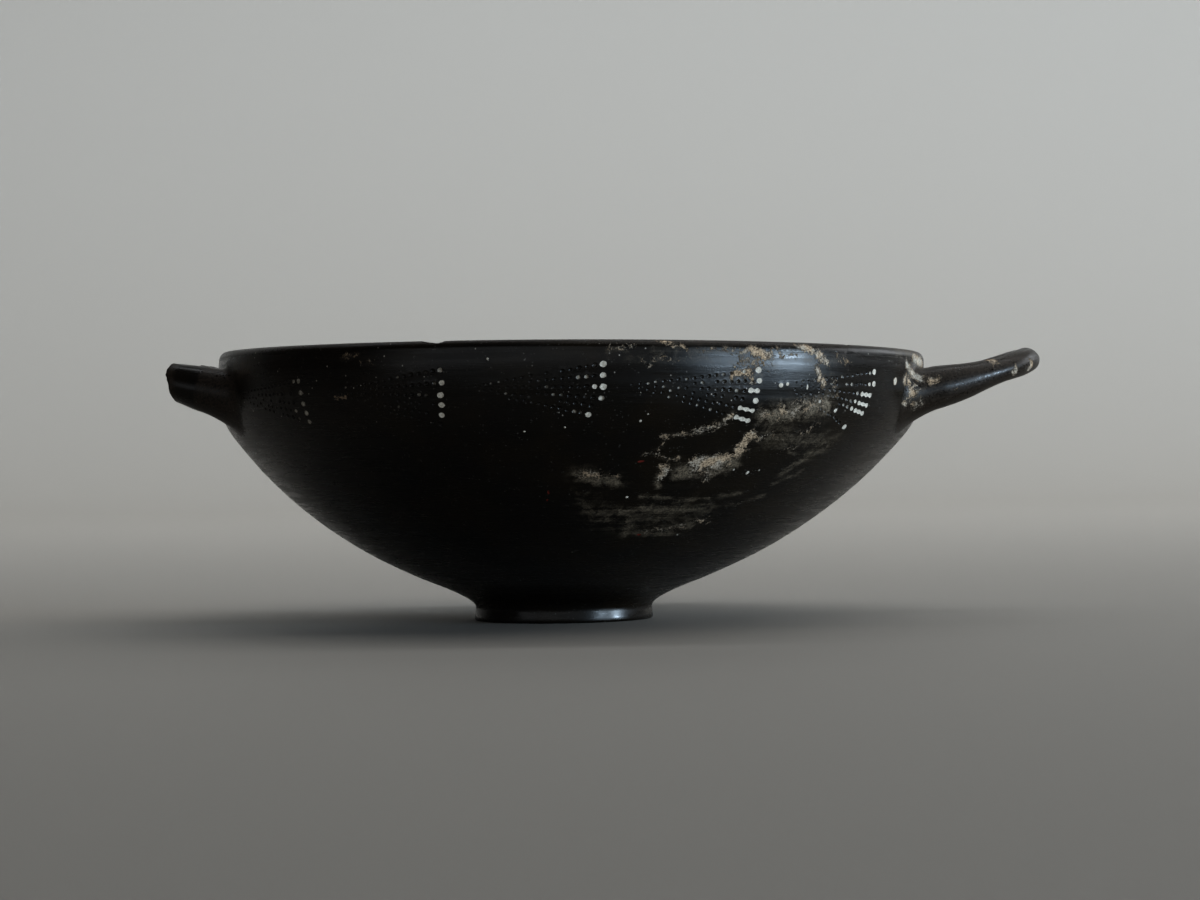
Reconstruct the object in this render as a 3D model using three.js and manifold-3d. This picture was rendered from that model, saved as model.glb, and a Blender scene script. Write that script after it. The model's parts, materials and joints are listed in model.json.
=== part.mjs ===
// A kylix: a low, wide drinking cup of black burnished clay, thrown on the wheel, on a low ring
// foot. One horizontal loop handle is whole. Of the handle opposite only two stubs are left, and the
// rim has a few shallow chips. The fired cup is one piece, so it is one closed solid.
//
// Millimetres, +Z up. The cup stands on z = 0 with its handles along X, and the origin lies under
// the middle of its overall length.

import * as THREE from "three";
import { mergeVertices } from "three/addons/utils/BufferGeometryUtils.js";
import Module from "manifold-3d";

// Bowl: slopes are in degrees, 0 for level and 90 for an upright wall.
const RIM_HEIGHT = 52.9;
const RIM_RADIUS = 69.8;
const WALL = 3;
const BELLY_RADIUS = 96.9; // of the long curve of the underside, in section
const BELLY_START_SLOPE = 20.8;
const SHOULDER_SLOPE = 50.8; // where the belly turns into the tighter curve of the shoulder
const SHOULDER_RADIUS = 13.8;
const SHOULDER_TOP = 45.5; // the wall is upright from here to the lip
const FLOOR_SLOPE = 17.6; // where the inside turns from the belly into the flatter floor
const LIP_DEPTH = 1.7; // height of the rounded lip

// Foot
const FOOT_RADIUS = 17.7;
const FOOT_WAIST_RADIUS = 17.5;
const FOOT_WAIST_HEIGHT = 2.6;
const FOOT_RING_WIDTH = 3.6;
const FOOT_RECESS = 2.2;
const FOOT_EDGE = 0.5; // rounding of the ring's edges

// Handles: the distances are from the bowl's axis to the middle of the clay roll.
const HANDLE_HEIGHT = 46.7;
const HANDLE_HEIGHT_AT = 75; // the distance at which the roll has that height
const HANDLE_SLOPE = 14.3; // its rise above level there, in degrees
const HANDLE_CURL = 0.004; // bends the roll up further out, in mm per square mm
const HANDLE_ROOT = 57; // inside the wall, where the roll is trimmed
const HANDLE_REACH = 89.7;
const HANDLE_HALF_SPREAD = 24; // between the roots
const HANDLE_HALF_CROWN = 20; // at the outer end
const HANDLE_SQUARENESS = 3.2; // power of the superellipse, 2 for a plain ellipse
const CROWN_RADIUS = 2.7;
const ARM_RADIUS = 4;
const TAPER_FROM = 12; // the arms narrow between these distances along the roll from its ends
const TAPER_TO = 29;
const FLARE = 3; // how much thicker the roll is at its ends, where it was luted on
const FLARE_FROM = 6; // the flare fades from this distance, over the next
const FLARE_LENGTH = 2.8;

// The handle that broke off: how far each stub reaches, and how its break leans and turns, in degrees.
const STUBS = [
  { side: 1, end: 77.2, lean: 8, turn: -9 },
  { side: -1, end: 78.8, lean: -10, turn: 14 },
];
const BREAK_DEPTH = 40; // of the block that stands for what broke off
const BREAK_FACE = 42; // its width and height
const BREAK_STEPS = 28; // facets across the rough face
const BREAK_ROUGHNESS = 0.35;

// Chips along the rim: angle round the bowl from -Y towards +X in degrees, then length and depth.
const CHIPS = [
  { angle: -22.5, length: 5.4, depth: 0.45 },
  { angle: -19.9, length: 2.6, depth: 0.55 },
  { angle: 128, length: 4.2, depth: 0.6 },
  { angle: 204, length: 3.0, depth: 0.4 },
];
const CHIP_REACH = 1.6; // half a chip's width across the lip
const CHIP_RISE = 1.2; // half its height

// The potter's small errors: how far the rim's middle lies from the foot's, the rim's slope, and the
// height of its gentle wave, which crests twice round the bowl, at this angle and opposite.
const RIM_OFFSET = 2.35;
const RIM_SLOPE = 0.016;
const RIM_WAVE = 0.28;
const RIM_WAVE_ANGLE = 12;

const AROUND = 72; // facets round the bowl
const BELLY_STEPS = 7;
const INSIDE_STEPS = 8;
const SHOULDER_STEPS = 4;
const LIP_STEPS = 6;
const HANDLE_SIDES = 14;
const HANDLE_STEPS = 36;

const wasm = await Module();
wasm.setup();

const radians = THREE.MathUtils.degToRad;

// The part of a circle between two slopes, in a section through the axis. The curve is the lower
// right of the circle, so that it gets steeper as it goes out.
function sectionArc(centre, radius, fromSlope, toSlope, steps) {
  const [from, to] = [radians(fromSlope - 90), radians(toSlope - 90)];
  const down = toSlope < fromSlope;
  const arc = new THREE.EllipseCurve(centre.x, centre.y, radius, radius, from, to, down);
  return arc.getPoints(steps);
}

// The belly, shoulder and floor share these centres, so that each meets the next with no corner.
const shoulderCentre = new THREE.Vector2(RIM_RADIUS - SHOULDER_RADIUS, SHOULDER_TOP);
const inward = new THREE.Vector2(
  -Math.sin(radians(SHOULDER_SLOPE)),
  Math.cos(radians(SHOULDER_SLOPE)),
);
const bellyCentre = shoulderCentre
  .clone()
  .addScaledVector(inward, BELLY_RADIUS - SHOULDER_RADIUS);

function footOutline() {
  const inner = FOOT_RADIUS - FOOT_RING_WIDTH;
  const belly = wallFace(0, BELLY_START_SLOPE, BELLY_STEPS)[0];
  const drop = (belly.x - FOOT_WAIST_RADIUS) * Math.tan(radians(BELLY_START_SLOPE));
  const corner = new THREE.Vector2(FOOT_WAIST_RADIUS, belly.y - drop);
  const waist = new THREE.Vector2(FOOT_WAIST_RADIUS, FOOT_WAIST_HEIGHT);
  return [
    new THREE.Vector2(0, FOOT_RECESS),
    new THREE.Vector2(inner - FOOT_RECESS, FOOT_RECESS),
    new THREE.Vector2(inner - FOOT_EDGE, FOOT_EDGE),
    new THREE.Vector2(inner, 0),
    new THREE.Vector2(FOOT_RADIUS - FOOT_EDGE, 0),
    ...sectionArc({ x: FOOT_RADIUS - FOOT_EDGE, y: FOOT_EDGE }, FOOT_EDGE, 30, 90, 2),
    ...new THREE.QuadraticBezierCurve(waist, corner, belly).getPoints(5),
  ];
}

// The wall's outer face, or a face a given depth inside it, from the belly up to the lip.
function wallFace(depth, fromSlope, bellySteps) {
  return [
    ...sectionArc(bellyCentre, BELLY_RADIUS - depth, fromSlope, SHOULDER_SLOPE, bellySteps),
    ...sectionArc(shoulderCentre, SHOULDER_RADIUS - depth, SHOULDER_SLOPE, 90, SHOULDER_STEPS).slice(1),
  ];
}

function lipOutline() {
  const middle = RIM_RADIUS - WALL / 2;
  const foot = RIM_HEIGHT - LIP_DEPTH;
  return new THREE.EllipseCurve(middle, foot, WALL / 2, LIP_DEPTH, 0, Math.PI).getPoints(LIP_STEPS);
}

// The inner face, from the shoulder down to the middle of the floor.
function innerFace() {
  const down = wallFace(WALL, FLOOR_SLOPE, INSIDE_STEPS).reverse();
  const edge = down.at(-1);
  const floorRadius = edge.x / Math.sin(radians(FLOOR_SLOPE));
  const centre = { x: 0, y: edge.y + floorRadius * Math.cos(radians(FLOOR_SLOPE)) };
  return [...down, ...sectionArc(centre, floorRadius, FLOOR_SLOPE, 0, 3).slice(1)];
}

// Turns an outline of (radius, height) points into a solid of revolution about Z.
function turned(outline) {
  return new THREE.LatheGeometry(outline, AROUND).rotateX(Math.PI / 2);
}

function bowl() {
  return turned([
    ...footOutline(),
    ...wallFace(0, BELLY_START_SLOPE, BELLY_STEPS).slice(1),
    ...lipOutline(),
    ...innerFace(),
  ]);
}

// Everything inside the middle of the wall. It trims the handles' ends, so that none shows inside.
function core() {
  const face = wallFace(WALL / 2, BELLY_START_SLOPE, BELLY_STEPS);
  const above = RIM_HEIGHT + WALL;
  return turned([
    new THREE.Vector2(0, face[0].y),
    ...face,
    new THREE.Vector2(face.at(-1).x, above),
    new THREE.Vector2(0, above),
  ]);
}

// The height of the clay roll's middle, at a distance from the bowl's axis.
function rollHeight(distance) {
  const past = distance - HANDLE_HEIGHT_AT;
  return HANDLE_HEIGHT + past * Math.tan(radians(HANDLE_SLOPE)) + HANDLE_CURL * past * past;
}

// The middle line of a handle, from one root round the crown to the other. Seen from above it is a
// superellipse that narrows towards the crown.
class Horseshoe extends THREE.Curve {
  getPoint(t, target = new THREE.Vector3()) {
    const angle = (t - 0.5) * Math.PI;
    const power = 2 / HANDLE_SQUARENESS;
    const out = Math.abs(Math.cos(angle)) ** power;
    const across = Math.sign(angle) * Math.abs(Math.sin(angle)) ** power;
    const reach = THREE.MathUtils.lerp(HANDLE_ROOT, HANDLE_REACH, out);
    const spread = THREE.MathUtils.lerp(HANDLE_HALF_SPREAD, HANDLE_HALF_CROWN, out);
    return target.set(reach, across * spread, rollHeight(reach));
  }
}

// A roll of clay, turned as a straight bar that is thick at both ends, then bent to the horseshoe.
function handle() {
  const line = new Horseshoe();
  line.arcLengthDivisions = 800;
  const length = line.getLength();
  const thickness = (along) => {
    const fromEnd = Math.min(along, length - along);
    const taper = THREE.MathUtils.smoothstep(fromEnd, TAPER_FROM, TAPER_TO);
    const arm = THREE.MathUtils.lerp(ARM_RADIUS, CROWN_RADIUS, taper);
    return arm + FLARE * Math.exp(-Math.max(0, fromEnd - FLARE_FROM) / FLARE_LENGTH);
  };
  const side = Array.from({ length: HANDLE_STEPS + 1 }, (_, i) => {
    const along = (length * i) / HANDLE_STEPS;
    return new THREE.Vector2(thickness(along), along);
  });
  const ends = [new THREE.Vector2(0, 0), new THREE.Vector2(0, length)];
  const bar = new THREE.LatheGeometry([ends[0], ...side, ends[1]], HANDLE_SIDES);
  const [lean, upright] = [Math.sin(radians(HANDLE_SLOPE)), Math.cos(radians(HANDLE_SLOPE))];
  const up = new THREE.Vector3(-lean, 0, upright);
  const place = bar.getAttribute("position");
  const point = new THREE.Vector3();
  for (let i = 0; i < place.count; i++) {
    point.fromBufferAttribute(place, i);
    const share = THREE.MathUtils.clamp(point.y / length, 0, 1);
    const outward = line.getTangentAt(share).cross(up).normalize();
    const moved = line.getPointAt(share).addScaledVector(outward, point.x).addScaledVector(up, point.z);
    place.setXYZ(i, moved.x, moved.y, moved.z);
  }
  return bar;
}

// A block whose near face is rough, as broken clay is. What it covers of a stub is broken off.
function breakBlock({ side, end, lean, turn }) {
  const [face, steps] = [BREAK_FACE, BREAK_STEPS];
  const block = new THREE.BoxGeometry(BREAK_DEPTH, face, face, 1, steps, steps);
  const place = block.getAttribute("position");
  for (let i = 0; i < place.count; i++) {
    const [x, y, z] = [place.getX(i), place.getY(i), place.getZ(i)];
    const rough = Math.sin(1.1 * y + 0.7 * z) + 0.7 * Math.sin(0.6 * y - 1.7 * z + side);
    if (x < 0) place.setX(i, x + BREAK_ROUGHNESS * rough);
  }
  return block
    .translate(BREAK_DEPTH / 2, 0, 0)
    .rotateY(radians(lean))
    .rotateZ(radians(turn))
    .translate(end, side * HANDLE_HALF_SPREAD, rollHeight(end));
}

// A shallow, uneven bite out of the outer edge of the lip.
function chip({ angle, length, depth }) {
  const bite = new THREE.IcosahedronGeometry(1, 2).scale(length / 2, CHIP_REACH, CHIP_RISE);
  const turn = radians(angle);
  const radius = RIM_RADIUS - WALL / 3;
  return bite
    .rotateZ(turn)
    .translate(radius * Math.sin(turn), -radius * Math.cos(turn), RIM_HEIGHT + CHIP_RISE - depth);
}

// A closed three.js geometry as a solid that can be joined and cut.
function solid(geometry) {
  const bare = geometry.clone();
  bare.deleteAttribute("normal");
  bare.deleteAttribute("uv");
  const merged = mergeVertices(bare, 1e-4);
  const corners = merged.index.array;
  const kept = [];
  for (let i = 0; i < corners.length; i += 3) {
    const [a, b, c] = corners.slice(i, i + 3);
    if (a !== b && b !== c && c !== a) kept.push(a, b, c);
  }
  const vertProperties = new Float32Array(merged.getAttribute("position").array);
  const made = new wasm.Mesh({ numProp: 3, vertProperties, triVerts: new Uint32Array(kept) });
  return new wasm.Manifold(made);
}

function geometryOf(manifold) {
  const mesh = manifold.getMesh();
  const geometry = new THREE.BufferGeometry();
  geometry.setAttribute("position", new THREE.BufferAttribute(mesh.vertProperties.slice(), 3));
  geometry.setIndex(new THREE.BufferAttribute(mesh.triVerts.slice(), 1));
  return geometry;
}

function cupSolid() {
  const trimmed = solid(handle()).subtract(solid(core()));
  let stubs = solid(handle().rotateZ(Math.PI)).subtract(solid(core()));
  for (const stub of STUBS) stubs = stubs.subtract(solid(breakBlock(stub).rotateZ(Math.PI)));
  // The breaks cut both arms and leave the crown loose between them: only the pieces at the wall stay.
  let cup = solid(bowl()).add(trimmed);
  for (const piece of stubs.decompose()) {
    if (piece.boundingBox().max[0] > -RIM_RADIUS) cup = cup.add(piece);
  }
  for (const bite of CHIPS) cup = cup.subtract(solid(chip(bite)));
  return cup;
}

// Moves the rim aside, tips it and waves it a little, more the higher and further out a point is. The
// foot stays flat.
function warp(geometry) {
  const place = geometry.getAttribute("position");
  for (let i = 0; i < place.count; i++) {
    const [y, z] = [place.getY(i), place.getZ(i)];
    const share = z / RIM_HEIGHT;
    const x = place.getX(i) + RIM_OFFSET * share;
    const angle = Math.atan2(x, -y) - radians(RIM_WAVE_ANGLE);
    const outwards = Math.min(1, (x * x + y * y) / RIM_RADIUS ** 2);
    const wave = RIM_WAVE * outwards * Math.cos(2 * angle);
    place.setX(i, x);
    place.setZ(i, z + share * (wave - RIM_SLOPE * x));
  }
  return geometry;
}

function cup() {
  const geometry = warp(geometryOf(cupSolid()));
  geometry.computeBoundingBox();
  const middle = geometry.boundingBox.getCenter(new THREE.Vector3());
  geometry.translate(-middle.x, -middle.y, 0);
  geometry.computeVertexNormals();
  const clay = new THREE.MeshStandardMaterial({ color: 0x1c1a19, roughness: 0.35, metalness: 0 });
  const mesh = new THREE.Mesh(geometry, clay);
  mesh.name = "kylix";
  return mesh;
}

const kylix = new THREE.Group();
kylix.add(cup());

export default kylix;
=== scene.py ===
"""A kylix, a wide and low drinking cup of black burnished clay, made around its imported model.

The cup is modelled in millimetres about the upright axis of its foot. An angle runs round that axis
from -Y, where the camera is, towards +X, where the whole handle is. A distance along the outline runs
from the middle of the foot's hollow, out and up over the outside, over the lip, and down the inside to
the middle of the floor. The lathe surface is a grid of angles and distances. Patches of it are filled
with loose triangles instead, where punched dots, chips, lumps and handles need finer shapes, and one
large patch, where the deposits lie, has twice the grid's points each way.
"""

import json
import math
import random
from dataclasses import dataclass
from types import SimpleNamespace

import bpy
import numpy as np
from mathutils import Euler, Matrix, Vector, noise
from mathutils.geometry import delaunay_2d_cdt

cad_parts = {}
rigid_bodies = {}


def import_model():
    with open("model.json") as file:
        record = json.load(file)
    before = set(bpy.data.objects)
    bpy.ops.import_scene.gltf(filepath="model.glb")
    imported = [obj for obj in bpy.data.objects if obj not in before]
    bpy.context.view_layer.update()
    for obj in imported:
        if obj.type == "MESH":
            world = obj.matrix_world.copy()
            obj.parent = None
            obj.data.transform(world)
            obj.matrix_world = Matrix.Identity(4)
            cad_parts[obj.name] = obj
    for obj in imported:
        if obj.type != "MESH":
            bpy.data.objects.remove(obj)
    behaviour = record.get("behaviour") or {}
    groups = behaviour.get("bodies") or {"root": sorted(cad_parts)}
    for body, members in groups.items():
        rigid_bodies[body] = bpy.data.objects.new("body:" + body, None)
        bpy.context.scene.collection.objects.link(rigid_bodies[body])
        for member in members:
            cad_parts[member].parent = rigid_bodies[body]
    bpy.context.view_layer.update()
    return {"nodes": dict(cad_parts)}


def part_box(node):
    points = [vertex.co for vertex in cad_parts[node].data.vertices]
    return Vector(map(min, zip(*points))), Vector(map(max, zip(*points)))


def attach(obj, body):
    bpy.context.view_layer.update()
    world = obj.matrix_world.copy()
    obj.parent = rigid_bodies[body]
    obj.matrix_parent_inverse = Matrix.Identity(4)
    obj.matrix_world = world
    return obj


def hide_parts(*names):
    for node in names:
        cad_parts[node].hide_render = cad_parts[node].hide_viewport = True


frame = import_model()

# ---------------------------------------------------------------- sizes, in mm, slopes in degrees

RIM_HEIGHT = 52.9
RIM_RADIUS = 69.8
WALL = 3.0
BELLY_RADIUS = 96.9
BELLY_START_SLOPE = 20.8
SHOULDER_SLOPE = 50.8
SHOULDER_RADIUS = 13.8
SHOULDER_TOP = 45.5
FLOOR_SLOPE = 17.6
LIP_DEPTH = 1.7
LIP_LINE_HEIGHT = 51.2
LIP_LINE_DEPTH = 0.04
LIP_LINE_WIDTH = 0.2

# How the thrown wall strays from its arcs. The lip zone draws in above and below its fullest height,
# the belly is fuller low down, and broad swells, turning marks and ripples run all over.
BARREL_HEIGHT = 48.6
BARREL_WIDTH = 3.0
BARREL_DEPTH = 0.3
BARREL_FOOT = 36.0
FULLNESS = 0.17
FULLEST_HEIGHT = 20.0
FULLNESS_SPAN = 18.0
SWELL = 0.1
TURNING = 0.035
RIPPLE = 0.03

FOOT_RADIUS = 17.7
FOOT_WAIST_RADIUS = 17.5
FOOT_WAIST_HEIGHT = 2.6
FOOT_RING_WIDTH = 3.6
FOOT_RECESS = 2.2
FOOT_EDGE = 0.5

# The handle's middle line passes a height at a distance from the axis, and rises and curls from there.
# Its own radius goes from the arms' to the crown's. STUB sizes are by the stub's arm, 1 or -1.
HANDLE_HEIGHT = 46.7
HANDLE_HEIGHT_AT = 75.0
HANDLE_SLOPE = 14.3
HANDLE_CURL = 0.004
HANDLE_ROOT = 57.0
HANDLE_REACH = 89.7
HANDLE_HALF_SPREAD = 24.0
HANDLE_HALF_CROWN = 20.0
HANDLE_SQUARENESS = 3.2
CROWN_RADIUS = 2.7
ARM_RADIUS = 4.0
TAPER_FROM = 12.0
TAPER_TO = 29.0
ROOT_FLARE = 0.7
ROOT_FLARE_LENGTH = 4.0
FILLET_WIDTH = 2.1
FILLET_LENGTH = 4.6
FILLET_DROP = 1.5
FILLET_FALL = 0.9
UNDERSIDE_WEAR = 0.4
STUB_REACH = {1: 77.2, -1: 78.8}
STUB_LEAN = {1: 0.36, -1: -0.1}
STUB_SETBACK = {1: 0.2, -1: 1.1}
STUB_RISE = {1: 0.0, -1: 0.7}

# How the kiln left it: the rim's shift towards +X, its slope as a share, and its wave.
RIM_OFFSET = 2.35
RIM_SLOPE = 0.016
RIM_WAVE = 0.28
RIM_WAVE_ANGLE = 12.0

# The grid has this many columns round the cup. The seed is for the dots' small differences.
COLUMNS = 372
SEED = 7

low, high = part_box("kylix")
UNIT = (high.y - low.y) / (2 * RIM_RADIUS)
standing = [v.co.x for v in frame["nodes"]["kylix"].data.vertices if v.co.z < 0.01 * UNIT]
AXIS_X = (min(standing) + max(standing)) / 2

# ---------------------------------------------------------------- camera, in mm, with its roll in degrees

CAMERA_DISTANCE = 608.6
CAMERA_HEIGHT = 33.94
CAMERA_ROLL = 0.894
CAMERA_LENS = 91.81
CAMERA_SHIFT = (0.0324, -0.0017)


def metres(x, y, z):
    """A place in millimetres about the foot's axis, in the row's frame."""
    return Vector((x * UNIT + AXIS_X, y * UNIT, z * UNIT))


def add_object(name, data):
    thing = bpy.data.objects.new(name, data)
    bpy.context.scene.collection.objects.link(thing)
    return thing


def add_camera():
    data = bpy.data.cameras.new("camera")
    data.lens = CAMERA_LENS
    data.sensor_width = 36
    data.shift_x, data.shift_y = CAMERA_SHIFT
    data.dof.use_dof = False
    camera = add_object("camera", data)
    camera.location = metres(0, -CAMERA_DISTANCE, CAMERA_HEIGHT)
    camera.rotation_euler = Euler((math.pi / 2, math.radians(CAMERA_ROLL), 0))
    bpy.context.scene.camera = camera


add_camera()

# ---------------------------------------------------------------- the outline


OUTLINE_STEP = 0.05


def section_arc(centre, radius, from_slope, to_slope):
    """The lower right of a circle, between two slopes of its line."""
    count = max(3, int(abs(to_slope - from_slope) * math.pi / 180 * radius / OUTLINE_STEP))
    slope = np.radians(np.linspace(from_slope, to_slope, count))
    return np.stack([centre[0] + radius * np.sin(slope), centre[1] - radius * np.cos(slope)], axis=1)


def straight(start, end):
    count = max(2, int(math.dist(start, end) / OUTLINE_STEP))
    return np.linspace(start, end, count)


def bezier(start, corner, end):
    share = np.linspace(0, 1, 60)[:, None]
    start, corner, end = (np.array(p, float) for p in (start, corner, end))
    return (1 - share) ** 2 * start + 2 * share * (1 - share) * corner + share**2 * end


shoulder_centre = np.array([RIM_RADIUS - SHOULDER_RADIUS, SHOULDER_TOP])
belly_centre = shoulder_centre + (BELLY_RADIUS - SHOULDER_RADIUS) * np.array(
    [-math.sin(math.radians(SHOULDER_SLOPE)), math.cos(math.radians(SHOULDER_SLOPE))]
)


def wall_face(depth, from_slope):
    """The belly and the shoulder, a depth inside the outer face."""
    belly = section_arc(belly_centre, BELLY_RADIUS - depth, from_slope, SHOULDER_SLOPE)
    shoulder = section_arc(shoulder_centre, SHOULDER_RADIUS - depth, SHOULDER_SLOPE, 90)
    return np.concatenate([belly, shoulder])


def foot_outline():
    """The foot's hollow, its ring and its waist, each with the spacing of its rows."""
    inner = FOOT_RADIUS - FOOT_RING_WIDTH
    outer = FOOT_RADIUS - FOOT_EDGE
    belly = wall_face(0, BELLY_START_SLOPE)[0]
    drop = (belly[0] - FOOT_WAIST_RADIUS) * math.tan(math.radians(BELLY_START_SLOPE))
    waist = (FOOT_WAIST_RADIUS, FOOT_WAIST_HEIGHT)
    edge = section_arc((outer, FOOT_EDGE), FOOT_EDGE, 0, 90)
    return [
        (straight((0, FOOT_RECESS), (inner - FOOT_RECESS, FOOT_RECESS)), 1.2),
        (straight((inner - FOOT_RECESS, FOOT_RECESS), (inner - FOOT_EDGE, FOOT_EDGE)), 0.8),
        (bezier((inner - FOOT_EDGE, FOOT_EDGE), (inner, 0), (inner + FOOT_EDGE, 0)), 0.4),
        (straight((inner + FOOT_EDGE, 0), (outer, 0)), 1.2),
        (edge, 0.25),
        (straight(edge[-1], waist), 0.7),
        (bezier(waist, (FOOT_WAIST_RADIUS, belly[1] - drop), belly), 0.4),
    ]


def lip_outline():
    turn = np.linspace(0, math.pi, 120)
    middle = RIM_RADIUS - WALL / 2
    foot = RIM_HEIGHT - LIP_DEPTH
    return np.stack([middle + WALL / 2 * np.cos(turn), foot + LIP_DEPTH * np.sin(turn)], axis=1)


def floor_outline(edge):
    radius = edge[0] / math.sin(math.radians(FLOOR_SLOPE))
    centre = (0, edge[1] + radius * math.cos(math.radians(FLOOR_SLOPE)))
    return section_arc(centre, radius, FLOOR_SLOPE, 0)


inside_face = wall_face(WALL, FLOOR_SLOPE)[::-1]
line_foot = LIP_LINE_HEIGHT - 0.7
lip_foot = RIM_HEIGHT - LIP_DEPTH
inside_radius = RIM_RADIUS - WALL

# The parts of the outline in their order, each with the spacing of the grid's rows along it.
SEGMENTS = [
    *foot_outline(),
    (wall_face(0, BELLY_START_SLOPE), 1.2),
    (straight((RIM_RADIUS, SHOULDER_TOP), (RIM_RADIUS, line_foot)), 1.1),
    (straight((RIM_RADIUS, line_foot), (RIM_RADIUS, lip_foot)), 0.18),
    (lip_outline(), 0.42),
    (straight((inside_radius, lip_foot), (inside_radius, SHOULDER_TOP)), 1.6),
    (inside_face, 1.9),
    (floor_outline(inside_face[-1]), 1.9),
]


def line_length(points):
    return float(np.hypot(*np.diff(points, axis=0).T).sum())


outline = np.concatenate([points for points, _ in SEGMENTS])
outline = outline[np.concatenate([[True], np.hypot(*np.diff(outline, axis=0).T) > 1e-6])]
ALONG = np.concatenate([[0], np.cumsum(np.hypot(*np.diff(outline, axis=0).T))])
tangent = np.gradient(outline, ALONG, axis=0)
tangent /= np.hypot(*tangent.T)[:, None]
NORMAL = np.stack([tangent[:, 1], -tangent[:, 0]], axis=1)
TOP = float(ALONG[outline[:, 1].argmax()])
FOOT_PARTS = len(foot_outline())
BELLY_START = sum(line_length(points) for points, _ in SEGMENTS[:FOOT_PARTS])


def section_at(along):
    """The outline's radius and height at a distance along it, and its normal's two parts."""
    return [np.interp(along, ALONG, values) for values in (*outline.T, *NORMAL.T)]


def along_outside(height):
    """The distance along the outline of the outer face at a height, above the foot."""
    part = (ALONG >= BELLY_START) & (ALONG <= TOP)
    return float(np.interp(height, outline[part, 1], ALONG[part]))


def across_at(degrees):
    """The distance round the wall of an angle, from the middle of the front."""
    return math.radians(degrees) * RIM_RADIUS


def along_at(degrees, height):
    """The distance along the outline of a place on the outer face, by its height on the finished cup."""
    point, _ = surface_point(math.radians(degrees), along_outside(height))
    risen = warp(np.array([point]))[0, 2] - point.z
    return along_outside(height - risen)


def row_distances():
    """The distances of the grid's rows, from the edge of the hollow's flat to the edge of the floor."""
    start = line_length(SEGMENTS[0][0])
    found = []
    for points, spacing in SEGMENTS[1:-1]:
        end = start + line_length(points)
        count = max(1, math.ceil((end - start) / spacing))
        found.extend(np.linspace(start, end, count, endpoint=False))
        start = end
    return np.array([*found, start])


rows = row_distances()

# ---------------------------------------------------------------- the mesh while it is built

MARKS = ("crust", "haze", "white", "worn", "broken", "red")


class Clay:
    """The cup's points and faces. A place is a point of the lathe surface, and can be lifted off it.
    A free point has its own position. Each carries marks for the material."""

    def __init__(self):
        self.places = []
        self.free = {}
        self.marks = []
        self.faces = []

    def place(self, angle, along, lift=0.0, drop=0.0, **marks):
        """angle is in radians, lift is along the surface's normal, and drop is straight down."""
        self.places.append((angle, along, lift, drop))
        self.marks.append([marks.get(name, 0.0) for name in MARKS])
        return len(self.places) - 1

    def point(self, position, wheel, **marks):
        """wheel is the point's place in the space of the burnisher's streaks."""
        vertex = self.place(0.0, 0.0, **marks)
        self.free[vertex] = (position, wheel)
        return vertex


clay = Clay()
vertex_of = {}


def column_angle(column):
    return 2 * math.pi * column / COLUMNS


def column_at(degrees):
    return round(degrees / 360 * COLUMNS)


def row_at(along):
    return int(np.abs(rows - along).argmin())


def grid_vertex(column, row):
    key = (column % COLUMNS, row)
    if key not in vertex_of:
        vertex_of[key] = clay.place(column_angle(key[0]), float(rows[row]))
    return vertex_of[key]


def surface_point(angle, along):
    """The lathe surface's point and its normal, at an angle in radians."""
    radius, height, out, rise = section_at(along)
    around = Vector((math.sin(angle), -math.cos(angle), 0))
    return around * radius + Vector((0, 0, height)), around * out + Vector((0, 0, rise))


def triangulate(flat, ids, edges, holes=()):
    """Joins flat points with triangles that face up, as a Delaunay mesh that has the given edges."""
    result = delaunay_2d_cdt([Vector(p) for p in flat], edges, [], 0, 1e-7, True)
    triangles, origins = result[2], result[3]
    for triangle in triangles:
        corners = [origins[v][0] for v in triangle]
        a, b, c = (Vector(flat[i]) for i in corners)
        area = (b - a).cross(c - a)
        middle = (a + b + c) / 3
        if abs(area) < 1e-7 or any(hole.reach(*middle) <= 0.99 for hole in holes):
            continue
        if area < 0:
            corners.reverse()
        clay.faces.append(tuple(ids[i] for i in corners))


# ---------------------------------------------------------------- what lies on the lathe surface

# How far off other points and dots keep, as shares of a feature's own size.
POINTS_OFF_SPOT = 1.62
DOTS_OFF_SPOT = 1.32
POINTS_OFF_HOLE = 1.07
DOTS_OFF_HOLE = 1.12

# The chips' fine points: how far apart they are, and how far they reach from the top, in mm.
CHIP_STEP = 0.27
CHIP_SPAN = 2.2


@dataclass
class Feature:
    """Something on the wall, at an angle in degrees. A patch fills its features in their order, covers
    says where the grid's own points are left out, and fill adds the feature's points to the patch."""

    angle: float

    def across(self):
        return across_at(self.angle)


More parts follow.
